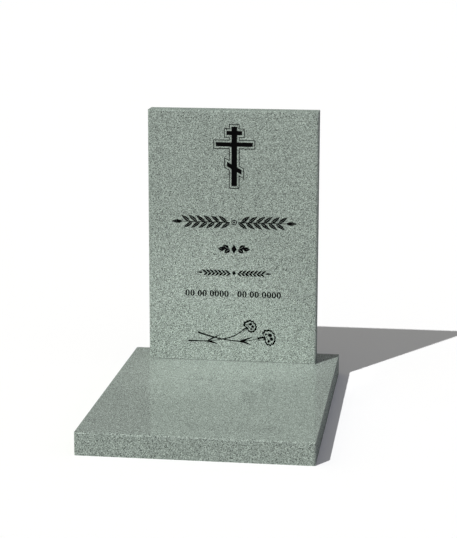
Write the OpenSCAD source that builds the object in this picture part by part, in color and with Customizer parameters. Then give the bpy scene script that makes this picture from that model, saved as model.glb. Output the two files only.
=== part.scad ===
// Grave slab with an upright headstone. All sizes are in millimetres.
// X runs across, Y from the front (-) to the back (+), Z up. The origin is
// the middle of the slab's underside.

/* [Ledger slab] */
// Width of the slab, side to side
slab_w = 500; // [430:10:900]
// Length of the slab, front to back
slab_l = 700; // [400:10:1600]
// Thickness of the slab
slab_t = 50; // [40:5:150]
// Width of the bevel along the sides and top of the slab's front face
slab_bevel_w = 3; // [1:0.5:8]
// How far back that bevel runs
slab_bevel_d = 1.5; // [1:0.5:6]

/* [Headstone] */
// Width of the headstone
stele_w = 400; // [340:10:800]
// Height of the headstone
stele_h = 600; // [420:10:1400]
// Thickness of the headstone
stele_t = 50; // [40:5:150]
// Width of the bevel along the sides and top of the headstone's face
stele_bevel_w = 3; // [1:0.5:8]
// How far back that bevel runs
stele_bevel_d = 1.5; // [1:0.5:6]
// Slab left bare behind the headstone
back_margin = 50; // [0:5:200]

/* [Joint] */
// Thickness of the adhesive bed under the headstone
bed_t = 1.5; // [1:0.5:5]
// How far the bed stays back from the edges of the headstone's underside
bed_inset = 0.5; // [0.5:0.5:5]
// Diameter of each steel dowel
dowel_d = 12; // [8:1:16]
// Distance between the two dowels
dowel_spacing = 240; // [100:10:300]
// Depth of each dowel in the slab
dowel_in_slab = 30; // [20:1:35]
// Depth of each dowel in the headstone
dowel_in_stele = 60; // [30:5:120]
// Radial clearance of a dowel in its hole
dowel_fit = 0.25; // [0.1:0.05:0.5]

/* [Engraving] */
// Depth of the engraved pockets
engrave_d = 1.5; // [0.8:0.1:3]
// How far the enamel lies below the face
enamel_recess = 0.3; // [0.1:0.1:0.6]
// Sideways shift of the whole engraving from the middle
engrave_shift = 4.2; // [-10:0.1:10]

/* [Spacing of the engraved rows] */
// Top edge to cross
gap_top = 37; // [10:0.5:100]
// Cross to garland
gap_cross = 68.5; // [10:0.5:120]
// Garland to sprig
gap_garland = 35; // [10:0.5:80]
// Sprig to leaf band
gap_sprig = 38; // [10:0.5:80]
// Leaf band to dates
gap_band = 34; // [10:0.5:80]
// Dates to flowers
gap_date = 51.5; // [10:0.5:80]
// Flowers to foot
gap_foot = 38.5; // [10:0.5:80]

/* [Cross] */
// Height of the cross
cross_h = 140; // [100:1:160]
// Width of the upright
cross_upright_w = 13.4; // [8:0.1:14]
// Height of each level bar
cross_bar_h = 10; // [7:0.1:11]
// Length of the top bar
cross_top_bar_l = 37; // [28:1:45]
// Length of the main bar
cross_main_bar_l = 87; // [60:1:110]
// Length of the slanted bar, measured level
cross_foot_bar_l = 35; // [28:1:45]
// Top of the cross down to the middle of its top bar
cross_top_bar_drop = 15; // [10:0.1:22]
// Top of the cross down to the middle of its main bar
cross_main_bar_drop = 41.8; // [38:0.1:55]
// Top of the cross down to the middle of its slanted bar
cross_foot_bar_drop = 97.5; // [80:0.5:110]
// Slant of the lower bar
cross_slant = 29; // [15:1:35]
// Bare stone between the cross and its border
border_gap = 4; // [3:0.1:5]
// Width of the border line
border_line = 1.9; // [1:0.1:2.5]

/* [Leaf rows] */
// Length of the garland
garland_l = 299; // [240:1:310]
// Height of the garland
garland_h = 36; // [28:1:44]
// Pairs of leaves on each half of the garland
garland_pairs = 6; // [5:1:8]
// Diameter of the ring in the middle of the garland
ring_d = 13; // [10:0.5:18]
// Width of that ring's line
ring_line = 2.2; // [1.2:0.1:2.5]
// Diameter of the dot in the ring
seed_d = 4.8; // [3:0.1:5]
// Length of the sprig
sprig_l = 76; // [60:1:120]
// Height of the sprig
sprig_h = 22; // [16:1:28]
// Pairs of leaves on each half of the sprig
sprig_pairs = 1; // [1:1:2]
// Length of the leaf band
band_l = 177; // [140:1:240]
// Height of the leaf band
band_h = 18; // [14:1:24]
// Pairs of leaves on each half of the leaf band
band_pairs = 7; // [5:1:8]
// Bare stone from the middle figure of a leaf row to the stems beside it
figure_gap = 3.5; // [2:0.5:6]

/* [Dates] */
// Sideways shift of the dates from the middle of the engraving
date_shift = -2; // [-10:0.5:10]
// Height of a numeral
numeral_h = 15.5; // [12:0.5:20]
// Width of a numeral
numeral_w = 10.6; // [7:0.1:11]
// Distance from one numeral to the next
numeral_pitch = 11.7; // [11.2:0.1:14]
// Diameter of the dot after a pair of numerals
dot_d = 2.2; // [1.6:0.1:3]
// Width left for that dot
dot_room = 5.9; // [4:0.1:8]
// Length of the dash between the two dates
dash_l = 6.4; // [4:0.1:10]
// Thickness of the dash
dash_t = 1.4; // [1:0.1:2]
// Width left for the dash
dash_room = 19.5; // [14:0.5:30]

/* [Flowers] */
// Height of the pair of carnations
spray_h = 66; // [56:1:80]
// Length of the pair of carnations
spray_l = 216; // [180:1:260]
// Radius of the lower bloom
lower_bloom_r = 21; // [16:0.5:24]
// Length of the lower bloom's calyx
lower_calyx_l = 18; // [14:0.5:22]
// Radius of the upper bloom
upper_bloom_r = 17; // [14:0.5:20]
// Length of the upper bloom's calyx
upper_calyx_l = 13; // [10:0.5:16]
// Width of the drawn lines
flower_line = 4.7; // [2:0.1:5]

/* [Hidden] */

granite = [0.56, 0.61, 0.57];
mortar = [0.30, 0.31, 0.30];
enamel = [0.04, 0.04, 0.04];
steel = [0.70, 0.71, 0.72];

through = 1;                        // how far a cutting solid passes a face
stele_y = slab_l / 2 - back_margin - stele_t / 2;
face_y = stele_y - stele_t / 2;     // front face of the headstone
foot_z = slab_t + bed_t;            // underside of the headstone

// The rows share out what height the headstone has; at the sizes above the
// gaps are exactly as named.
rows_h = cross_h + garland_h + sprig_h + band_h + numeral_h + spray_h;
gaps_h = gap_top + gap_cross + gap_garland + gap_sprig + gap_band + gap_date + gap_foot;
gap_fit = (stele_h - rows_h) / gaps_h;
cross_z = stele_h - gap_top * gap_fit - cross_h / 2;
garland_z = cross_z - cross_h / 2 - gap_cross * gap_fit - garland_h / 2;
sprig_z = garland_z - garland_h / 2 - gap_garland * gap_fit - sprig_h / 2;
band_z = sprig_z - sprig_h / 2 - gap_sprig * gap_fit - band_h / 2;
date_z = band_z - band_h / 2 - gap_band * gap_fit - numeral_h / 2;
spray_z = gap_foot * gap_fit + spray_h / 2;

// ---- curves and outlines ------------------------------------------------

// Points of an ellipse with half-axes a and b
function oval(a, b, n = 28) = [for (i = [0:n - 1]) [a * cos(360 * i / n), b * sin(360 * i / n)]];

// Point at t on the curve from p to r that leans towards q
function bend(p, q, r, t) = (1 - t) * (1 - t) * p + 2 * t * (1 - t) * q + t * t * r;

// Unit normal, to the left of the way from p to q
function left_of(p, q) = [p[1] - q[1], q[0] - p[0]] / norm(q - p);

// Outline of a stroke along the curve p-q-r, w0 wide where it starts and w1 where it ends
function stroke(p, q, r, w0, w1, n = 8) = let (
    path = [for (i = [0:n]) bend(p, q, r, i / n)],
    side = [for (i = [0:n]) left_of(path[max(i - 1, 0)], path[min(i + 1, n)])],
    half = [for (i = [0:n]) (w0 + (w1 - w0) * i / n) / 2]
) concat(
    [for (i = [0:n]) path[i] + half[i] * side[i]],
    [for (i = [n:-1:0]) path[i] - half[i] * side[i]]
);

// Outline of a slender blade along the curve p-q-r, pointed at both ends and at
// most w wide, where its widest place is a third of the way along
function blade(p, q, r, w, n = 10) = let (
    path = [for (i = [0:n]) bend(p, q, r, i / n)],
    side = [for (i = [0:n]) left_of(path[max(i - 1, 0)], path[min(i + 1, n)])],
    half = [for (i = [0:n]) w / 2 * pow(sin(180 * pow(i / n, 0.63)), 0.8)]
) concat(
    [for (i = [0:n]) path[i] + half[i] * side[i]],
    [for (i = [n - 1:-1:1]) path[i] - half[i] * side[i]]
);

// Outline of a leaf that starts at the origin and points along +X
function leaf_outline(l, w, n = 8) = concat(
    [for (i = [0:n]) [l * i / n, w / 2 * pow(sin(180 * pow(i / n, 0.8)), 0.9)]],
    [for (i = [n - 1:-1:1]) [l * i / n, -w / 2 * pow(sin(180 * pow(i / n, 0.8)), 0.9)]]
);

// Outline of a flower's head, radius r across it and depth times that along X:
// ruffled by the notches, drawn in to share waist where it meets the stem (-X),
// and with one petal drooping out behind on its upper side
function ruffle(r, depth, notches, waist, step = 5) = [
    for (a = [0:step:359]) let (
        dent = 0.13 + 0.06 * sin(3 * a),
        lobe = 1 - dent * (1 - abs(cos(a * notches / 2))),
        pull = 1 - (1 - waist) * pow(max(0, -cos(a)), 8),
        droop = 1 + 0.34 * pow(max(0, cos(a - 142)), 10)
    ) r * lobe * pull * droop * [depth * cos(a), sin(a)]
];

// ---- engraved shapes, drawn flat: X across the face, Y up it ------------

module bar(l, h, grow) {
    square([l + 2 * grow, h + 2 * grow], center = true);
}

// The three-bar cross, centred on its height and grown by grow on every side
module cross_shape(grow = 0) {
    top = cross_h / 2;
    bar(cross_upright_w, cross_h, grow);
    translate([0, top - cross_top_bar_drop]) bar(cross_top_bar_l, cross_bar_h, grow);
    translate([0, top - cross_main_bar_drop]) bar(cross_main_bar_l, cross_bar_h, grow);
    run = cross_foot_bar_l / 2 + grow;
    rise = run * tan(cross_slant);
    half = (cross_bar_h / 2 + grow) / cos(cross_slant);
    translate([0, top - cross_foot_bar_drop]) polygon([
        [-run, rise - half], [run, -rise - half], [run, -rise + half], [-run, rise + half]
    ]);
}

module cross_border_shape() {
    difference() {
        cross_shape(border_gap + border_line);
        cross_shape(border_gap);
    }
}

// A leaf with a bare rib down its middle; a small leaf is cut solid, its rib
// being too fine to cut
module leaf(l, w) {
    rib = 0.06 * w;
    least_rib = 0.4;
    difference() {
        polygon(leaf_outline(l, w));
        if (rib >= least_rib) {
            polygon([[0.12 * l, -rib / 2], [0.85 * l, -rib / 4], [0.85 * l, rib / 4], [0.12 * l, rib / 2]]);
        }
    }
}

// A spray of leaves from x = start to x = end, in pairs along a tapering stem
module spray(start, end, h, pairs, leaf_w) {
    leaf_l = 0.74 * h;
    stagger = 0.35;                 // upper leaves stand this share of a pitch further on
    pitch = (end - start - leaf_l) / (pairs + stagger);
    polygon(stroke([start, 0], [(start + end) / 2, 0], [end - leaf_l / 2, 0], 0.07 * h, 0.035 * h, 2));
    for (i = [0:pairs - 1]) {
        for (side = [-1, 1]) {
            translate([start + pitch * (i + (side > 0 ? stagger : 0)), 0])
                rotate(side * 36) leaf(leaf_l, leaf_w);
        }
    }
    translate([end - leaf_l, 0]) leaf(leaf_l, leaf_w);
}

module garland_side_shape() {
    spray(ring_d / 2 + figure_gap, garland_l / 2, garland_h, garland_pairs, 0.235 * garland_h);
}

module garland_ring_shape() {
    difference() {
        circle(d = ring_d, $fn = 48);
        circle(d = ring_d - 2 * ring_line, $fn = 48);
    }
    circle(d = seed_d, $fn = 32);
}

// An upright lozenge, w wide and h high
module lozenge(w, h) {
    polygon([[-w / 2, 0], [0, -h / 2], [w / 2, 0], [0, h / 2]]);
}

module sprig_shape() {
    lozenge_w = 0.6 * sprig_h;
    lozenge(lozenge_w, sprig_h);
    for (side = [0, 1]) {
        mirror([side, 0]) spray(lozenge_w / 2 + figure_gap, sprig_l / 2, sprig_h, sprig_pairs, 0.5 * sprig_h);
    }
}

band_lozenge_w = 0.5 * band_h;

module band_side_shape() {
    spray(band_lozenge_w / 2 + figure_gap, band_l / 2, band_h, band_pairs, 0.25 * band_h);
}

module band_lozenge_shape() {
    lozenge(band_lozenge_w, 0.72 * band_h);
}

// A plain nought: broad at the sides, fine at the top and bottom
module nought() {
    difference() {
        polygon(oval(numeral_w / 2, numeral_h / 2));
        polygon(oval(0.155 * numeral_w, 0.4 * numeral_h));
    }
}

date_l = 8 * numeral_pitch + 2 * dot_room;

// Two, two and four noughts with a dot after each pair, from x = 0 to the right
module date_shape() {
    group = 2 * numeral_pitch + dot_room;
    for (place = [0, 1, 2, 3]) {
        translate([2 * group + numeral_pitch * (place + 0.5), 0]) nought();
    }
    for (pair = [0, 1]) {
        for (place = [0, 1]) {
            translate([pair * group + numeral_pitch * (place + 0.5), 0]) nought();
        }
        translate([(pair + 1) * group - dot_room / 2, dot_d / 2 - numeral_h / 2])
            circle(d = dot_d, $fn = 24);
    }
}

module date_dash_shape() {
    translate([0, -0.16 * numeral_h]) bar(dash_l, dash_t, 0);
}

// Places in the pair of carnations, as shares of its length and height
function at(x, y) = [x * spray_l, y * spray_h];
upper_stem_end = at(0.09, 0.035);
lower_stem_end = at(0.258, -0.245);
upper_bloom_angle = 30;
lower_bloom_angle = 7.5;
stem_gap = 1.2;                     // bare stone between a stem and its bloom
waist = 0.7;                        // how far a bloom is drawn in where it meets its calyx

// A bloom's inner petals: where the middle of each lies, as an angle and a share
// of the bloom's radius, then its length across that line and its width
petals = [
    [72, 0.30, 0.56, 0.42], [-36, 0.28, 0.46, 0.43], [-106, 0.41, 0.38, 0.34],
    [129, 0.56, 0.28, 0.24], [160, 0.32, 0.19, 0.16], [-155, 0.27, 0.19, 0.14]
];

module carnation_stems_shape() {
    w = 0.58 * flower_line;
    // lower flower's stem, thick at its cut end, down to its knot and on to the bloom
    polygon(stroke(at(-0.40, -0.06), at(-0.26, -0.22), at(-0.12, -0.29), 1.7 * w, 0.9 * w));
    polygon(stroke(at(-0.13, -0.287), at(-0.03, -0.34), at(0.09, -0.355), 0.9 * w, 1.1 * w));
    polygon(stroke(at(0.08, -0.357), at(0.18, -0.32), lower_stem_end, 0.8 * w, 0.5 * w));
    // upper flower's stem, from its cut end to its knot, under the other and up to the bloom
    polygon(stroke(at(-0.51, -0.39), at(-0.40, -0.39), at(-0.275, -0.375), 1.3 * w, 0.9 * w));
    polygon(stroke(at(-0.285, -0.375), at(-0.20, -0.34), at(-0.115, -0.285), 0.6 * w, 0.8 * w));
    polygon(stroke(at(-0.125, -0.29), at(0.01, -0.20), upper_stem_end, w, 0.9 * w));
    // slender leaves, each pair forking from a knot on the stem
    polygon(blade(at(-0.295, -0.38), at(-0.22, -0.22), at(-0.14, -0.13), 1.3 * w));
    polygon(blade(at(-0.32, -0.375), at(-0.23, -0.39), at(-0.175, -0.50), 1.8 * w));
    polygon(blade(at(0.06, -0.36), at(0.15, -0.27), at(0.22, -0.155), 1.7 * w));
    polygon(blade(at(0.05, -0.355), at(0.14, -0.37), at(0.20, -0.50), 1.6 * w));
}

// The cup under a bloom, from the origin along +X, with a bare glint low on it
module calyx_shape(l) {
    cup = 0.22 * l;
    difference() {
        polygon(stroke([0, -0.1 * cup], [0.5 * l, 0.1 * cup], [l + flower_line / 3, 0], 1.9 * cup, 2.3 * cup, 4));
        polygon(blade([0.85 * l, -0.4 * cup], [0.5 * l, -0.4 * cup], [0.1 * l, -0.35 * cup], 0.8 * cup, 6));
    }
}

// One bloom of radius r: its calyx, l long, then a ruffled head with inner petals
module bloom_shape(r, depth, l) {
    lobes = 12;
    calyx_shape(l);
    translate([l + depth * waist * r, 0]) {
        difference() {
            polygon(ruffle(r, depth, lobes, waist));
            polygon(ruffle(r - flower_line, depth, lobes, waist));
        }
        for (petal = petals) {
            rotate(petal[0]) translate([petal[1] * r, -petal[2] / 2 * r]) rotate(90)
                polygon(leaf_outline(petal[2] * r, petal[3] * r, 6));
        }
    }
}

module upper_bloom_shape() {
    translate(upper_stem_end) rotate(upper_bloom_angle) translate([stem_gap, 0])
        bloom_shape(upper_bloom_r, 0.86, upper_calyx_l);
}

module lower_bloom_shape() {
    translate(lower_stem_end) rotate(lower_bloom_angle) translate([stem_gap, 0])
        bloom_shape(lower_bloom_r, 0.75, lower_calyx_l);
}

// ---- each engraved place: its shape at its own height on the face -------

module cross_place() { translate([0, cross_z]) cross_shape(); }
module cross_border_place() { translate([0, cross_z]) cross_border_shape(); }
module garland_left_place() { translate([0, garland_z]) mirror([1, 0]) garland_side_shape(); }
module garland_right_place() { translate([0, garland_z]) garland_side_shape(); }
module garland_ring_place() { translate([0, garland_z]) garland_ring_shape(); }
module sprig_place() { translate([0, sprig_z]) sprig_shape(); }
module band_left_place() { translate([0, band_z]) mirror([1, 0]) band_side_shape(); }
module band_right_place() { translate([0, band_z]) band_side_shape(); }
module band_lozenge_place() { translate([0, band_z]) band_lozenge_shape(); }
module date_left_place() { translate([date_shift - dash_room / 2 - date_l, date_z]) date_shape(); }
module date_dash_place() { translate([date_shift, date_z]) date_dash_shape(); }
module date_right_place() { translate([date_shift + dash_room / 2, date_z]) date_shape(); }
module carnation_stems_place() { translate([0, spray_z]) carnation_stems_shape(); }
module upper_bloom_place() { translate([0, spray_z]) upper_bloom_shape(); }
module lower_bloom_place() { translate([0, spray_z]) lower_bloom_shape(); }

// Stands a flat shape up on the headstone's face: from the pocket's floor, t out
module on_face(t) {
    translate([engrave_shift, face_y + engrave_d, foot_z])
        rotate([90, 0, 0]) linear_extrude(t) children();
}

module pocket() { on_face(engrave_d + through) children(); }

module fill() { color(enamel) on_face(engrave_d - enamel_recess) children(); }

// ---- the stones and what joins them ------------------------------------

// Outline of a w by l rectangle about the origin, its two front corners cut by
// bw across and bd back
function plan(w, l, bw, bd) = [
    [-w / 2 + bw, -l / 2], [w / 2 - bw, -l / 2], [w / 2, -l / 2 + bd],
    [w / 2, l / 2], [-w / 2, l / 2], [-w / 2, -l / 2 + bd]
];

// Outline of the same block from its side, l long and h high, its upper front
// corner cut by bw down and bd back
function elevation(l, h, bw, bd) = [
    [-l / 2, 0], [l / 2, 0], [l / 2, h], [-l / 2 + bd, h], [-l / 2, h - bw]
];

// A sawn block on z = 0, sharp but for a bevel up both sides and along the top
// of its front face, bw wide on that face and bd deep
module stone(w, l, h, bw, bd) {
    intersection() {
        linear_extrude(h) polygon(plan(w, l, bw, bd));
        translate([-w / 2, 0, 0]) rotate([90, 0, 90]) linear_extrude(w) polygon(elevation(l, h, bw, bd));
    }
}

// Children at both dowels, on the bed's underside
module at_dowels() {
    for (side = [-1, 1]) {
        translate([side * dowel_spacing / 2, stele_y, slab_t]) children();
    }
}

module dowel_hole() {
    translate([0, 0, -dowel_in_slab])
        cylinder(r = dowel_d / 2 + dowel_fit, h = dowel_in_slab + bed_t + dowel_in_stele, $fn = 48);
}

module dowel(side) {
    color(steel) translate([side * dowel_spacing / 2, stele_y, slab_t - dowel_in_slab])
        cylinder(d = dowel_d, h = dowel_in_slab + bed_t + dowel_in_stele, $fn = 48);
}

module ledger_slab() {
    color(granite) difference() {
        stone(slab_w, slab_l, slab_t, slab_bevel_w, slab_bevel_d);
        at_dowels() dowel_hole();
    }
}

module joint_bed() {
    color(mortar) difference() {
        translate([-stele_w / 2 + bed_inset, face_y + bed_inset, slab_t])
            cube([stele_w - 2 * bed_inset, stele_t - 2 * bed_inset, bed_t]);
        at_dowels() dowel_hole();
    }
}

module headstone() {
    color(granite) difference() {
        translate([0, stele_y, foot_z]) stone(stele_w, stele_t, stele_h, stele_bevel_w, stele_bevel_d);
        at_dowels() dowel_hole();
        pocket() cross_place();
        pocket() cross_border_place();
        pocket() garland_left_place();
        pocket() garland_right_place();
        pocket() garland_ring_place();
        pocket() sprig_place();
        pocket() band_left_place();
        pocket() band_right_place();
        pocket() band_lozenge_place();
        pocket() date_left_place();
        pocket() date_dash_place();
        pocket() date_right_place();
        pocket() carnation_stems_place();
        pocket() upper_bloom_place();
        pocket() lower_bloom_place();
    }
}

module dowel_left() { dowel(-1); }
module dowel_right() { dowel(1); }
module cross_fill() { fill() cross_place(); }
module cross_border_fill() { fill() cross_border_place(); }
module garland_left_fill() { fill() garland_left_place(); }
module garland_right_fill() { fill() garland_right_place(); }
module garland_ring_fill() { fill() garland_ring_place(); }
module sprig_fill() { fill() sprig_place(); }
module band_left_fill() { fill() band_left_place(); }
module band_right_fill() { fill() band_right_place(); }
module band_lozenge_fill() { fill() band_lozenge_place(); }
module date_left_fill() { fill() date_left_place(); }
module date_dash_fill() { fill() date_dash_place(); }
module date_right_fill() { fill() date_right_place(); }
module carnation_stems_fill() { fill() carnation_stems_place(); }
module upper_bloom_fill() { fill() upper_bloom_place(); }
module lower_bloom_fill() { fill() lower_bloom_place(); }

ledger_slab();
headstone();
joint_bed();
dowel_left();
dowel_right();
cross_fill();
cross_border_fill();
garland_left_fill();
garland_right_fill();
garland_ring_fill();
sprig_fill();
band_left_fill();
band_right_fill();
band_lozenge_fill();
date_left_fill();
date_dash_fill();
date_right_fill();
carnation_stems_fill();
upper_bloom_fill();
lower_bloom_fill();
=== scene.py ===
import math

import bmesh
import bpy
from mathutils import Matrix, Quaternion, Vector


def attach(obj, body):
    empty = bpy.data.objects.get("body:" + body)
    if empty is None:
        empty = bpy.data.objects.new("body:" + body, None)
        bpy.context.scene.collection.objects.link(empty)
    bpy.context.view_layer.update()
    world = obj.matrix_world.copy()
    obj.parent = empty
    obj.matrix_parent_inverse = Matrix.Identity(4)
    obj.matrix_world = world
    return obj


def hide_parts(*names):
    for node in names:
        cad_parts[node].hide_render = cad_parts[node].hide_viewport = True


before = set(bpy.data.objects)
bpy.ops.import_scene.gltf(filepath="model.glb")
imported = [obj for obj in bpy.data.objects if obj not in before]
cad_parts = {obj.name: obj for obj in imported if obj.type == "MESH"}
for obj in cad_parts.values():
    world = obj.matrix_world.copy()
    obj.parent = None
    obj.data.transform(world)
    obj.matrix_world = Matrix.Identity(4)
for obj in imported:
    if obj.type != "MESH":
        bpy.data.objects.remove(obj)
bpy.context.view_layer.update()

bl_info = {
    "name": "Grave slab with headstone",
    "version": (1, 0, 0),
    "blender": (4, 5, 0),
    "location": "3D View > Sidebar > Grave Slab",
    "description": "Finishes the stone, the engraving and the joint of a grave slab with its headstone",
    "category": "Object",
}

BODY = "root"
UV_MAP = "OFBake"
SAME_PLACE = 1e-6  # metres: what lies nearer than this counts as touching


# ---- sizes and colours a user would change --------------------------------------------


class GraniteSettings(bpy.types.PropertyGroup):
    """The stone both pieces are sawn from."""

    grain: bpy.props.FloatProperty(
        name="Grain", description="Size of the small crystals of the mass",
        default=0.0013, min=0.0005, max=0.02, unit="LENGTH", precision=4,
    )
    speck: bpy.props.FloatProperty(
        name="Speck spacing", description="Distance between the larger dark or pale crystals",
        default=0.0025, min=0.001, max=0.04, unit="LENGTH", precision=4,
    )
    feldspar: bpy.props.FloatVectorProperty(
        name="Feldspar", description="Colour of the pale crystals",
        default=(0.51, 0.592, 0.529), min=0, max=1, subtype="COLOR",
    )
    body: bpy.props.FloatVectorProperty(
        name="Body", description="Colour of the grey-green mass between them",
        default=(0.284, 0.332, 0.296), min=0, max=1, subtype="COLOR",
    )
    quartz: bpy.props.FloatVectorProperty(
        name="Quartz", description="Colour of the smoky crystals in the mass",
        default=(0.224, 0.264, 0.236), min=0, max=1, subtype="COLOR",
    )
    mica: bpy.props.FloatVectorProperty(
        name="Mica", description="Colour of the dark crystals",
        default=(0.045, 0.052, 0.047), min=0, max=1, subtype="COLOR",
    )
    polish: bpy.props.FloatProperty(
        name="Polished roughness", description="Roughness of the polished faces",
        default=0.06, min=0.02, max=1, subtype="FACTOR",
    )
    hone: bpy.props.FloatProperty(
        name="Honed roughness", description="Roughness of the honed edges and back",
        default=0.7, min=0.02, max=1, subtype="FACTOR",
    )
    slab_shine: bpy.props.FloatProperty(
        name="Slab shine", description="Strength of the mirroring in the slab's polished top",
        default=0.5, min=0, max=1, subtype="FACTOR",
    )
    face_shine: bpy.props.FloatProperty(
        name="Face shine", description="Strength of the mirroring in the headstone's polished face",
        default=0.2, min=0, max=1, subtype="FACTOR",
    )
    edge_shine: bpy.props.FloatProperty(
        name="Edge shine", description="Strength of the mirroring in the honed edges and back",
        default=0.08, min=0, max=1, subtype="FACTOR",
    )


class EnamelSettings(bpy.types.PropertyGroup):
    """The paint in the engraving."""

    colour: bpy.props.FloatVectorProperty(
        name="Enamel", description="Colour of the enamel",
        default=(0.0018, 0.0018, 0.0019), min=0, max=1, subtype="COLOR",
    )
    roughness: bpy.props.FloatProperty(
        name="Enamel roughness", description="Roughness of the enamel",
        default=0.42, min=0.05, max=1, subtype="FACTOR",
    )
    shine: bpy.props.FloatProperty(
        name="Enamel shine", description="Strength of the mirroring in the enamel",
        default=0.02, min=0, max=1, subtype="FACTOR",
    )


class JointSettings(bpy.types.PropertyGroup):
    """The adhesive bed and the steel pins between the stones."""

    bed_colour: bpy.props.FloatVectorProperty(
        name="Bed", description="Colour of the adhesive bed",
        default=(0.27, 0.31, 0.28), min=0, max=1, subtype="COLOR",
    )
    steel_colour: bpy.props.FloatVectorProperty(
        name="Steel", description="Colour of the pins",
        default=(0.56, 0.57, 0.58), min=0, max=1, subtype="COLOR",
    )


class StageSettings(bpy.types.PropertyGroup):
    """Floor, light and camera."""

    floor_size: bpy.props.FloatProperty(
        name="Floor", description="Side of the square floor",
        default=160, min=10, unit="LENGTH",
    )
    floor_white: bpy.props.FloatProperty(
        name="Floor white", description="How pale the floor looks",
        default=0.95, min=0, max=1, subtype="FACTOR",
    )
    floor_bounce: bpy.props.FloatProperty(
        name="Floor bounce", description="How much light the floor throws back on the stone",
        default=0.335, min=0, max=1, subtype="FACTOR",
    )
    sun_strength: bpy.props.FloatProperty(
        name="Sun strength", description="Strength of the one hard lamp",
        default=3.38, min=0,
    )
    sun_from: bpy.props.FloatProperty(
        name="Sun from", description="Direction the sun shines from, left of straight ahead",
        default=math.radians(33.1), subtype="ANGLE",
    )
    sun_height: bpy.props.FloatProperty(
        name="Sun height", description="Height of the sun above the floor",
        default=math.radians(46.0), subtype="ANGLE",
    )
    pool_share: bpy.props.FloatProperty(
        name="Pool strength", description="Light of the soft spot on the joint, as a share of the sun's",
        default=0.364, min=0, max=1, subtype="FACTOR",
    )
    pool_radius: bpy.props.FloatProperty(
        name="Pool radius", description="Radius of that spot, across its beam",
        default=0.28, min=0.05, unit="LENGTH",
    )
    pool_at: bpy.props.FloatVectorProperty(
        name="Pool at", description="Point that spot is aimed at",
        default=(0, 0.23, 0.05), subtype="XYZ", unit="LENGTH",
    )
    left_light: bpy.props.FloatVectorProperty(
        name="Left light", description="Soft light from the left",
        default=(0.292, 0.289, 0.23), min=0, max=1, subtype="COLOR",
    )
    right_light: bpy.props.FloatVectorProperty(
        name="Right light", description="Soft light from the right",
        default=(0.276, 0.276, 0.325), min=0, max=1, subtype="COLOR",
    )
    view_from: bpy.props.FloatProperty(
        name="View from", description="Direction the camera looks from, right of straight ahead",
        default=math.radians(7.6), subtype="ANGLE",
    )
    view_height: bpy.props.FloatProperty(
        name="View height", description="Height of the camera above the point it looks at, as an angle",
        default=math.radians(11.94), subtype="ANGLE",
    )
    view_distance: bpy.props.FloatProperty(
        name="View distance", description="Distance from the camera to the point it looks at",
        default=3.8, min=0.5, unit="LENGTH",
    )
    view_angle: bpy.props.FloatProperty(
        name="View angle", description="Angle of view across the picture",
        default=math.radians(15.947), subtype="ANGLE",
    )
    view_roll: bpy.props.FloatProperty(
        name="View roll", description="Turn of the camera about its own line of sight",
        default=math.radians(0.12), subtype="ANGLE",
    )
    look_at: bpy.props.FloatVectorProperty(
        name="Look at", description="Point in the middle of the picture",
        default=(0, 0.184, 0.2897), subtype="XYZ", unit="LENGTH",
    )


# ---- shader nodes -----------------------------------------------------------------------


def add_node(tree, kind, inputs=None, **settings):
    """A new node with its settings and inputs, which are values or sockets to join."""
    made = tree.nodes.new(kind)
    for name, value in settings.items():
        setattr(made, name, value)
    for name, value in (inputs or {}).items():
        if isinstance(value, bpy.types.NodeSocket):
            tree.links.new(value, made.inputs[name])
        else:
            made.inputs[name].default_value = value
    return made


def maths(tree, operation, *values):
    """The result of a Math node on values or sockets."""
    made = add_node(tree, "ShaderNodeMath", dict(enumerate(values)), operation=operation)
    return made.outputs[0]


def between(tree, mask, low, high):
    """A number that goes from low to high as mask goes from 0 to 1."""
    inputs = {"Value": mask, "To Min": low, "To Max": high}
    return add_node(tree, "ShaderNodeMapRange", inputs).outputs["Result"]


def ease(tree, value, start, stop):
    """A mask that goes smoothly from 0 to 1 as value goes from start to stop."""
    inputs = {"Value": value, "From Min": start, "From Max": stop}
    made = add_node(tree, "ShaderNodeMapRange", inputs, interpolation_type="SMOOTHSTEP")
    return made.outputs["Result"]


def blend(tree, mask, first, second, mode="MIX"):
    """The colour first with second laid over it where mask is 1."""
    made = add_node(tree, "ShaderNodeMix", data_type="RGBA", blend_type=mode)
    for socket, value in ((made.inputs[0], mask), (made.inputs[6], first), (made.inputs[7], second)):
        if isinstance(value, bpy.types.NodeSocket):
            tree.links.new(value, socket)
        else:
            socket.default_value = value
    return made.outputs[2]


def opaque(colour):
    """A colour property as the four numbers a colour socket takes."""
    return (*colour, 1)


def shade(colour, share):
    """A colour property made darker or lighter, for a colour socket."""
    return opaque(min(part * share, 1) for part in colour)


def new_group(name, inputs, outputs):
    """A shader node group with those sockets, and its two end nodes."""
    group = bpy.data.node_groups.new(name, "ShaderNodeTree")
    for end, sockets in (("INPUT", inputs), ("OUTPUT", outputs)):
        for socket, kind in sockets.items():
            group.interface.new_socket(socket, in_out=end, socket_type="NodeSocket" + kind)
    return group, group.nodes.new("NodeGroupInput"), group.nodes.new("NodeGroupOutput")


def new_material(name):
    """A new material, its node tree and the shader in it."""
    material = bpy.data.materials.new(name)
    material.use_nodes = True
    tree = material.node_tree
    return material, tree, tree.nodes["Principled BSDF"]


def dress(tree, shader, colour, roughness, relief, depth, strength):
    """Joins a colour, a roughness and a relief of that depth to the shader."""
    bump = add_node(tree, "ShaderNodeBump", {"Height": relief, "Distance": depth, "Strength": strength})
    tree.links.new(colour, shader.inputs["Base Color"])
    tree.links.new(roughness, shader.inputs["Roughness"])
    tree.links.new(bump.outputs["Normal"], shader.inputs["Normal"])


# ---- granite ------------------------------------------------------------------------------

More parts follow.
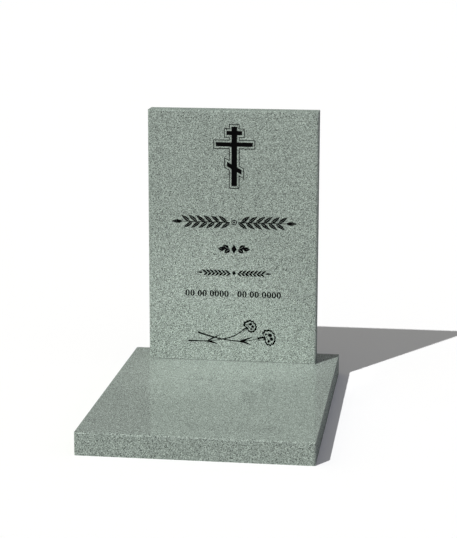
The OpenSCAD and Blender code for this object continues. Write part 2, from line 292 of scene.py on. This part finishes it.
BLOCK_TURN = (0.6, 0.4, 0.3)  # radians the block is turned, so that no face runs along the cells
RAGGEDNESS = 1.4  # how far a crystal's outline is stirred, in grains
QUARTZ_SHARE = 0.2  # share of the small crystals that are smoky
GRAIN_TONES = (0.9, 1.1)  # darkest and lightest of the small crystals
CLOUDS = 7.0  # clouds to a metre
CLOUD_TONES = (0.98, 1.02)  # darkest and lightest of the clouds
PIT_SHARE = 0.2  # share of the mica that is pitted

# Smallest and largest radius of the large crystals, in cells, and the shift of their cells
LARGE_CRYSTALS = {"Feldspar": (0.24, 0.46, 0.0), "Mica": (0.23, 0.45, 7.3)}

POLISH_SPREAD = 0.15  # how much the roughness of one finish varies, as a share of it
MICA_DULLNESS = 0.12  # how much rougher mica is than the rest
PIT_EDGE = 0.6  # how sharply the pits show
POLISHED_PITS = 0.0001  # depth of the pits in a polished face, in metres
HONED_PITS = 0.0002  # depth of the pits in a honed face, in metres


def granite_group():
    """Small crystals with large pale and dark ones among them, and pits where mica has broken out."""
    name = "granite_crystals"
    if name in bpy.data.node_groups:
        return bpy.data.node_groups[name]
    inputs = {
        "Grain": "Float", "Speck": "Float", "Offset": "Vector",
        "Feldspar": "Color", "Body": "Color", "Quartz": "Color", "Mica": "Color",
    }
    outputs = {"Color": "Color", "Mica Mask": "Float", "Pits": "Float", "Cloud": "Float"}
    group, start, end = new_group(name, inputs, outputs)
    given = start.outputs
    place = add_node(group, "ShaderNodeTexCoord").outputs["Object"]
    turned = {"Vector": place, "Location": given["Offset"], "Rotation": BLOCK_TURN}
    place = add_node(group, "ShaderNodeMapping", turned).outputs[0]
    grain_scale = maths(group, "DIVIDE", 1.0, given["Grain"])
    speck_scale = maths(group, "DIVIDE", 1.0, given["Speck"])

    # crystals are ragged, so the place that picks them is stirred by a noise as fine as they are
    ragged = add_node(group, "ShaderNodeTexNoise", {"Vector": place, "Scale": grain_scale, "Detail": 2.0})
    either_way = {0: ragged.outputs["Color"], 1: (0.5, 0.5, 0.5)}
    stir = add_node(group, "ShaderNodeVectorMath", either_way, operation="SUBTRACT").outputs[0]
    wide = {0: stir, "Scale": maths(group, "MULTIPLY", given["Grain"], RAGGEDNESS)}
    stir = add_node(group, "ShaderNodeVectorMath", wide, operation="SCALE").outputs[0]
    stirred = add_node(group, "ShaderNodeVectorMath", {0: place, 1: stir}).outputs[0]

    # the mass: small crystals, each its own tone, some of them smoky
    mass = add_node(group, "ShaderNodeTexVoronoi", {"Vector": stirred, "Scale": grain_scale})
    pick = add_node(group, "ShaderNodeSeparateColor", {"Color": mass.outputs["Color"]}).outputs
    is_quartz = maths(group, "LESS_THAN", pick[0], QUARTZ_SHARE)
    colour = blend(group, is_quartz, given["Body"], given["Quartz"])
    tone = between(group, pick[1], *GRAIN_TONES)

    # large crystals stand apart in it: one to a cell, each of its own size
    masks = {}
    for mineral, (least, most, shift) in LARGE_CRYSTALS.items():
        moved = add_node(group, "ShaderNodeVectorMath", {0: stirred, 1: (shift, shift, shift)}).outputs[0]
        cells = add_node(group, "ShaderNodeTexVoronoi", {"Vector": moved, "Scale": speck_scale})
        own = add_node(group, "ShaderNodeSeparateColor", {"Color": cells.outputs["Color"]}).outputs
        reach = between(group, own[0], least, most)
        masks[mineral] = maths(group, "LESS_THAN", cells.outputs["Distance"], reach)
        colour = blend(group, masks[mineral], colour, given[mineral])

    # the stone is a little cloudy over a hand's breadth
    cloud = add_node(group, "ShaderNodeTexNoise", {"Vector": place, "Scale": CLOUDS, "Detail": 3.0})
    tone = maths(group, "MULTIPLY", tone, between(group, cloud.outputs["Fac"], *CLOUD_TONES))
    grey = add_node(group, "ShaderNodeCombineColor", {"Red": tone, "Green": tone, "Blue": tone})
    colour = blend(group, 1.0, colour, grey.outputs["Color"], "MULTIPLY")

    pit = maths(group, "GREATER_THAN", pick[2], 1 - PIT_SHARE)
    pit = maths(group, "MULTIPLY", pit, masks["Mica"])
    group.links.new(colour, end.inputs["Color"])
    group.links.new(masks["Mica"], end.inputs["Mica Mask"])
    group.links.new(pit, end.inputs["Pits"])
    group.links.new(cloud.outputs["Fac"], end.inputs["Cloud"])
    return group


def granite(name, stone, cut, roughness, shine, pit_depth):
    """Granite cut at its own place in the block, with its own finish."""
    material, tree, shader = new_material(name)
    crystals = add_node(tree, "ShaderNodeGroup", node_tree=granite_group())
    crystals.inputs["Grain"].default_value = stone.grain
    crystals.inputs["Speck"].default_value = stone.speck
    crystals.inputs["Offset"].default_value = cut
    for mineral in ("Feldspar", "Body", "Quartz", "Mica"):
        crystals.inputs[mineral].default_value = opaque(getattr(stone, mineral.lower()))

    # mica takes the polish less well than the rest
    smoothest, roughest = roughness * (1 - POLISH_SPREAD), roughness * (1 + POLISH_SPREAD)
    even = between(tree, crystals.outputs["Cloud"], smoothest, roughest)
    rough = maths(tree, "ADD", even, between(tree, crystals.outputs["Mica Mask"], 0.0, MICA_DULLNESS))
    surface = maths(tree, "SUBTRACT", 1.0, crystals.outputs["Pits"])
    dress(tree, shader, crystals.outputs["Color"], rough, surface, pit_depth, PIT_EDGE)
    shader.inputs["Specular IOR Level"].default_value = shine
    return material


# ---- enamel, adhesive and steel -------------------------------------------------------------


def enamel(paint):
    """Black enamel brushed into the engraving: even, with faint strokes and faint pools."""
    name = "enamel_black"
    if name in bpy.data.materials:
        return bpy.data.materials[name]
    strokes_to_a_metre = (900, 900, 160)
    pools_to_a_metre = 120.0
    thin, thick = 0.7, 1.5
    spread = 0.08
    stroke_depth = 0.00005
    material, tree, shader = new_material(name)
    place = add_node(tree, "ShaderNodeTexCoord").outputs["Object"]
    strokes = add_node(tree, "ShaderNodeMapping", {"Vector": place, "Scale": strokes_to_a_metre})
    along = strokes.outputs[0]
    brushed = add_node(tree, "ShaderNodeTexNoise", {"Vector": along, "Scale": 1.0, "Detail": 3.0})
    pools = add_node(tree, "ShaderNodeTexNoise", {"Vector": place, "Scale": pools_to_a_metre, "Detail": 2.0})
    colour = blend(tree, pools.outputs["Fac"], shade(paint.colour, thin), shade(paint.colour, thick))
    rough = between(tree, brushed.outputs["Fac"], paint.roughness - spread, paint.roughness + spread)
    height = maths(tree, "ADD", brushed.outputs["Fac"], pools.outputs["Fac"])
    dress(tree, shader, colour, rough, height, stroke_depth, strength=0.5)
    shader.inputs["Specular IOR Level"].default_value = paint.shine
    return material


def adhesive(joint):
    """Stone adhesive tinted like the granite: matt, with sand in it."""
    sand_to_a_metre = 2500.0
    darkest, lightest = 0.3, 1.2
    smoothest, roughest = 0.75, 0.92
    sand_height = 0.0001
    material, tree, shader = new_material("adhesive_tinted")
    place = add_node(tree, "ShaderNodeTexCoord").outputs["Object"]
    sand = add_node(tree, "ShaderNodeTexVoronoi", {"Vector": place, "Scale": sand_to_a_metre})
    pick = add_node(tree, "ShaderNodeSeparateColor", {"Color": sand.outputs["Color"]}).outputs
    colour = blend(tree, pick[0], shade(joint.bed_colour, darkest), shade(joint.bed_colour, lightest))
    rough = between(tree, pick[1], smoothest, roughest)
    dress(tree, shader, colour, rough, pick[2], sand_height, strength=0.7)
    return material


def steel(joint):
    """Drawn steel bar with fine lines along it."""
    lines_to_a_metre = (2500, 2500, 25)
    darkest, lightest = 0.8, 1.15
    smoothest, roughest = 0.28, 0.45
    line_depth = 0.00003
    material, tree, shader = new_material("steel_drawn")
    place = add_node(tree, "ShaderNodeTexCoord").outputs["Object"]
    drawn = add_node(tree, "ShaderNodeMapping", {"Vector": place, "Scale": lines_to_a_metre})
    lines = add_node(tree, "ShaderNodeTexNoise", {"Vector": drawn.outputs[0], "Scale": 1.0, "Detail": 2.0})
    line = lines.outputs["Fac"]
    colour = blend(tree, line, shade(joint.steel_colour, darkest), shade(joint.steel_colour, lightest))
    rough = between(tree, line, smoothest, roughest)
    dress(tree, shader, colour, rough, line, line_depth, strength=0.5)
    shader.inputs["Metallic"].default_value = 1.0
    return material


# ---- stones -------------------------------------------------------------------------------

X = Vector((1, 0, 0))
Y = Vector((0, 1, 0))
Z = Vector((0, 0, 1))

# Each side of a block: the way it faces, then the ways that run across and up its part of the map
SIDES = {
    "front": (-Y, X, Z),
    "back": (Y, -X, Z),
    "left": (-X, Z, Y),
    "right": (X, Z, Y),
    "top": (Z, X, Y),
    "bottom": (-Z, X, Y),
}


class Panel:
    """One side's part of the map: its lowest corner, how much map a metre takes, and how it is turned."""

    def __init__(self, left, bottom, scale, across=None, up=None):
        self.corner = Vector((left, bottom))
        self.scale = scale
        self.across = across
        self.up = up


# Where each side lies in a stone's map; the polished sides get the most of it
SLAB_MAP = {
    "top": Panel(0.01, 0.01, 1.25),
    "left": Panel(0.65, 0.01, 1.25),
    "right": Panel(0.725, 0.01, 1.25),
    "front": Panel(0.80, 0.31, 1.25, across=Z, up=X),
    "back": Panel(0.875, 0.31, 1.25, across=Z, up=X),
    "bottom": Panel(0.80, 0.01, 0.38),
}
HEADSTONE_MAP = {
    "front": Panel(0.01, 0.01, 1.58),
    "back": Panel(0.66, 0.01, 0.8),
    "left": Panel(0.66, 0.51, 0.75, across=Y, up=Z),
    "right": Panel(0.72, 0.51, 0.75, across=Y, up=Z),
    "top": Panel(0.78, 0.51, 0.75, across=Y, up=X),
    "bottom": Panel(0.84, 0.51, 0.75, across=Y, up=X),
}

# What is sunk in a side: no deeper than the first length, and further than the second from its edges
SLAB_WELLS = {"top": (0.031, 0.01)}
HEADSTONE_WELLS = {"front": (0.002, 0.005), "bottom": (0.061, 0.01)}

# How much of a well's depth its walls take up in the map
SLAB_WALL_SHARE = 0.15
HEADSTONE_WALL_SHARE = 0.08

# Where in the block each stone is cut
SLAB_CUT = (3.1, 0.7, 1.9)
HEADSTONE_CUT = (0.4, 2.2, 5.3)

# A face that leans less than this from the polished side is polished with it
POLISHED_LEAN = math.radians(60)


def side_of(normal):
    """The name of the side that a face with this normal belongs to."""
    return max(SIDES, key=lambda name: SIDES[name][0].dot(normal))


def box_of(mesh):
    """Lowest and highest corners of a mesh."""
    points = [v.co for v in mesh.vertices]
    low = Vector(min(p[i] for p in points) for i in range(3))
    high = Vector(max(p[i] for p in points) for i in range(3))
    return low, high


def plane_of(facing, box):
    """The corner of the box that the side facing that way lies on."""
    low, high = box
    return high if sum(facing) > 0 else low


def sunk_side(face_centre, box, wells):
    """The side that this face is sunk in, such as an engraved front, or None."""
    low, high = box
    for name, (depth, margin) in wells.items():
        facing = SIDES[name][0]
        below = (plane_of(facing, box) - face_centre).dot(facing)
        inside = all(
            low[i] + margin < face_centre[i] < high[i] - margin
            for i in range(3) if not facing[i]
        )
        if inside and SAME_PLACE < below < depth + SAME_PLACE:
            return name
    return None


def lay_out(mesh, panels, wells, wall_share):
    """Gives the mesh a map: each side flat in its panel, and a well's walls just inside its floor."""
    box = box_of(mesh)
    layer = mesh.uv_layers.new(name=UV_MAP)
    for face in mesh.polygons:
        sunk = sunk_side(face.center, box, wells)
        side = sunk or side_of(face.normal)
        facing, across, up = SIDES[side]
        panel = panels[side]
        across = panel.across or across
        up = panel.up or up
        plane = plane_of(facing, box)
        for loop in face.loop_indices:
            point = mesh.vertices[mesh.loops[loop].vertex_index].co
            if sunk:
                depth = (plane - point).dot(facing)
                point = point + face.normal * depth * wall_share
            corner = min(box[0].dot(across), box[1].dot(across)), min(box[0].dot(up), box[1].dot(up))
            flat = Vector((point.dot(across) - corner[0], point.dot(up) - corner[1]))
            layer.data[loop].uv = panel.corner + flat * panel.scale


def put(name, data):
    """A new object in the scene."""
    made = bpy.data.objects.new(name, data)
    bpy.context.scene.collection.objects.link(made)
    return made


def copied_stone(node, name):
    """A piece of its own with the CAD node's shape, which it stands for."""
    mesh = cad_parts[node].data.copy()
    mesh.name = name
    mesh.materials.clear()
    while mesh.uv_layers:
        mesh.uv_layers.remove(mesh.uv_layers[0])
    stone = put(name, mesh)
    weld = bmesh.new()
    weld.from_mesh(mesh)
    bmesh.ops.remove_doubles(weld, verts=weld.verts, dist=SAME_PLACE)
    for face in weld.faces:
        face.smooth = False
    weld.to_mesh(mesh)
    weld.free()
    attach(stone, BODY)
    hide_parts(node)
    return stone


def finish_faces(stone, polished_side, wells, polished, honed, painted=None):
    """Polished granite on one side, paint on what is sunk in it and honed granite on the rest."""
    mesh = stone.data
    for material in (polished, honed, painted or honed):
        mesh.materials.append(material)
    box = box_of(mesh)
    facing = SIDES[polished_side][0]
    for face in mesh.polygons:
        sunk = sunk_side(face.center, box, wells)
        if sunk == polished_side:
            face.material_index = 2
        elif sunk or facing.dot(face.normal) < math.cos(POLISHED_LEAN):
            face.material_index = 1


def paint_over(piece, material):
    """Puts one material on the whole of a CAD node."""
    piece.data.materials.clear()
    piece.data.materials.append(material)


class MONUMENT_OT_ledger_slab(bpy.types.Operator):
    """Finish the level slab: polished top, honed edges and front bevel"""

    bl_idname = "monument.ledger_slab"
    bl_label = "Ledger slab"

    def execute(self, context):
        stone = context.scene.monument_granite
        slab = copied_stone("ledger_slab", "ledger_stone")
        polished = granite("slab_polished", stone, SLAB_CUT, stone.polish, stone.slab_shine, POLISHED_PITS)
        honed = granite("slab_honed", stone, SLAB_CUT, stone.hone, stone.edge_shine, HONED_PITS)
        finish_faces(slab, "top", SLAB_WELLS, polished, honed)
        lay_out(slab.data, SLAB_MAP, SLAB_WELLS, SLAB_WALL_SHARE)
        return {"FINISHED"}


class MONUMENT_OT_headstone(bpy.types.Operator):
    """Finish the upright stone: polished engraved face with its bevel, honed edges and back"""

    bl_idname = "monument.headstone"
    bl_label = "Headstone"

    def execute(self, context):
        stone = context.scene.monument_granite
        upright = copied_stone("headstone", "upright_stone")
        cut = HEADSTONE_CUT
        polished = granite("upright_polished", stone, cut, stone.polish, stone.face_shine, POLISHED_PITS)
        honed = granite("upright_honed", stone, cut, stone.hone, stone.edge_shine, HONED_PITS)
        paint = enamel(context.scene.monument_enamel)
        finish_faces(upright, "front", HEADSTONE_WELLS, polished, honed, paint)
        lay_out(upright.data, HEADSTONE_MAP, HEADSTONE_WELLS, HEADSTONE_WALL_SHARE)
        return {"FINISHED"}


class MONUMENT_OT_enamel(bpy.types.Operator):
    """Brush black enamel on every filling of the engraving"""

    bl_idname = "monument.enamel"
    bl_label = "Enamel"

    def execute(self, context):
        paint = enamel(context.scene.monument_enamel)
        for name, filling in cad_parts.items():
            if name.endswith("_fill"):
                paint_over(filling, paint)
        return {"FINISHED"}


class MONUMENT_OT_joint(bpy.types.Operator):
    """Finish the adhesive bed between the stones and the steel pins"""

    bl_idname = "monument.joint"
    bl_label = "Joint"

    def execute(self, context):
        joint = context.scene.monument_joint
        paint_over(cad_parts["joint_bed"], adhesive(joint))
        drawn = steel(joint)
        for name in ("dowel_left", "dowel_right"):
            paint_over(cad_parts[name], drawn)
        return {"FINISHED"}


# ---- stage --------------------------------------------------------------------------------

SUN_WIDTH = math.radians(0.6)  # how wide the sun looks, which softens its shadows
POOL_THROW = 6.0  # metres from the spot's lamp to what it is aimed at
POOL_LAMP = 0.03  # radius of that lamp, in metres
SIDE_SPREAD = 0.6  # how far past the middle the soft light of each side reaches, 1 being all the way
WHITE_BELOW = math.radians(6.5)  # polished stone mirrors white up to this height
DARK_ABOVE = math.radians(8.5)  # and dark from this height up
OVERHEAD = (0.14, 0.14, 0.142, 1)
WHITE = (1, 1, 1, 1)
UNLIT = (0, 0, 0, 1)


def bare_ray(tree):
    """1 for rays that see the background itself: from the camera, or by way of a gloss or glass."""
    ray = add_node(tree, "ShaderNodeLightPath").outputs
    shown = maths(tree, "MAXIMUM", ray["Is Camera Ray"], ray["Is Glossy Ray"])
    return maths(tree, "MAXIMUM", shown, ray["Is Transmission Ray"])


def floor_material(stage):
    """White to look at, but grey to the light that bounces from it."""
    material, tree, shader = new_material("floor_white")
    white = opaque([stage.floor_white] * 3)
    grey = opaque([stage.floor_bounce] * 3)
    tree.links.new(blend(tree, bare_ray(tree), grey, white), shader.inputs["Base Color"])
    shader.inputs["Roughness"].default_value = 1.0
    shader.inputs["Specular IOR Level"].default_value = 0.0
    return material


def light_world(stage):
    """Soft light from both sides; what is seen of the world is white low down and dark overhead."""
    world = bpy.data.worlds.new("studio")
    world.use_nodes = True
    tree = world.node_tree
    direction = add_node(tree, "ShaderNodeTexCoord").outputs["Generated"]
    along = add_node(tree, "ShaderNodeSeparateXYZ", {"Vector": direction}).outputs
    raised = ease(tree, along["Z"], math.sin(WHITE_BELOW), math.sin(DARK_ABOVE))
    seen = blend(tree, raised, WHITE, OVERHEAD)
    leftward = ease(tree, along["X"], SIDE_SPREAD, -SIDE_SPREAD)
    rightward = ease(tree, along["X"], -SIDE_SPREAD, SIDE_SPREAD)
    soft = blend(tree, leftward, UNLIT, opaque(stage.left_light), "ADD")
    soft = blend(tree, rightward, soft, opaque(stage.right_light), "ADD")
    colour = blend(tree, bare_ray(tree), soft, seen)
    tree.links.new(colour, tree.nodes["Background"].inputs["Color"])
    return world


def heading(turn, height):
    """The way to a thing seen that far right of straight ahead and that far up, both as angles."""
    level = Vector((math.sin(turn), -math.cos(turn), 0))
    return level * math.cos(height) + Vector((0, 0, math.sin(height)))


def put_floor(stage):
    """The level floor that the slab lies on."""
    half = stage.floor_size / 2
    mesh = bpy.data.meshes.new("floor")
    corners = [(-half, -half, 0), (half, -half, 0), (half, half, 0), (-half, half, 0)]
    mesh.from_pydata(corners, [], [(0, 1, 2, 3)])
    mesh.materials.append(floor_material(stage))
    floor = put("floor", mesh)


def put_lamps(stage):
    """The sun, and a soft spot along its beam that brightens the joint."""
    towards = heading(-stage.sun_from, stage.sun_height)
    lamp = bpy.data.lights.new("sun", "SUN")
    lamp.energy = stage.sun_strength
    lamp.angle = SUN_WIDTH
    sun = put("sun", lamp)
    sun.rotation_euler = towards.to_track_quat("Z", "Y").to_euler()

    lamp = bpy.data.lights.new("pool", "SPOT")
    lamp.energy = stage.pool_share * stage.sun_strength * 4 * math.pi * POOL_THROW ** 2
    lamp.spot_size = 2 * math.atan(stage.pool_radius / POOL_THROW)
    lamp.spot_blend = 1.0
    lamp.shadow_soft_size = POOL_LAMP
    pool = put("pool", lamp)
    pool.location = Vector(stage.pool_at) + towards * POOL_THROW
    pool.rotation_euler = sun.rotation_euler


def put_camera(stage):
    """The camera, a little right of straight ahead and above."""
    lens = bpy.data.cameras.new("camera")
    lens.sensor_fit = "HORIZONTAL"
    lens.angle = stage.view_angle
    camera = put("camera", lens)
    back = heading(stage.view_from, stage.view_height)
    camera.location = Vector(stage.look_at) + back * stage.view_distance
    level_view = back.to_track_quat("Z", "Y")
    camera.rotation_euler = (level_view @ Quaternion(Z, stage.view_roll)).to_euler()
    return camera


class MONUMENT_OT_stage(bpy.types.Operator):
    """Set the floor, the sun, the soft light and the camera"""

    bl_idname = "monument.stage"
    bl_label = "Stage"

    def execute(self, context):
        scene = context.scene
        stage = scene.monument_stage
        scene.view_settings.view_transform = "Standard"
        put_floor(stage)
        scene.world = light_world(stage)
        put_lamps(stage)
        scene.camera = put_camera(stage)
        return {"FINISHED"}


class MONUMENT_PT_panel(bpy.types.Panel):
    """Lists the steps that finish the grave slab."""

    bl_idname = "MONUMENT_PT_panel"
    bl_label = "Grave Slab"
    bl_space_type = "VIEW_3D"
    bl_region_type = "UI"
    bl_category = "Grave Slab"

    def draw(self, context):
        scene = context.scene
        for title, settings, operators in (
            ("Stone", scene.monument_granite, (MONUMENT_OT_ledger_slab, MONUMENT_OT_headstone)),
            ("Engraving", scene.monument_enamel, (MONUMENT_OT_enamel,)),
            ("Joint", scene.monument_joint, (MONUMENT_OT_joint,)),
            ("Stage", scene.monument_stage, (MONUMENT_OT_stage,)),
        ):
            box = self.layout.box()
            box.label(text=title)
            for name in settings.bl_rna.properties.keys():
                if name not in ("rna_type", "name"):
                    box.prop(settings, name)
            for operator in operators:
                box.operator(operator.bl_idname)


SETTINGS = {
    "monument_granite": GraniteSettings,
    "monument_enamel": EnamelSettings,
    "monument_joint": JointSettings,
    "monument_stage": StageSettings,
}
CLASSES = (
    *SETTINGS.values(),
    MONUMENT_OT_ledger_slab,
    MONUMENT_OT_headstone,
    MONUMENT_OT_enamel,
    MONUMENT_OT_joint,
    MONUMENT_OT_stage,
    MONUMENT_PT_panel,
)


def register():
    for cls in CLASSES:
        bpy.utils.register_class(cls)
    for name, settings in SETTINGS.items():
        setattr(bpy.types.Scene, name, bpy.props.PointerProperty(type=settings))


def unregister():
    for name in SETTINGS:
        delattr(bpy.types.Scene, name)
    for cls in reversed(CLASSES):
        bpy.utils.unregister_class(cls)


def main():
    register()
    bpy.ops.monument.ledger_slab()
    bpy.ops.monument.headstone()
    bpy.ops.monument.enamel()
    bpy.ops.monument.joint()
    bpy.ops.monument.stage()


if __name__ == "__main__":
    main()
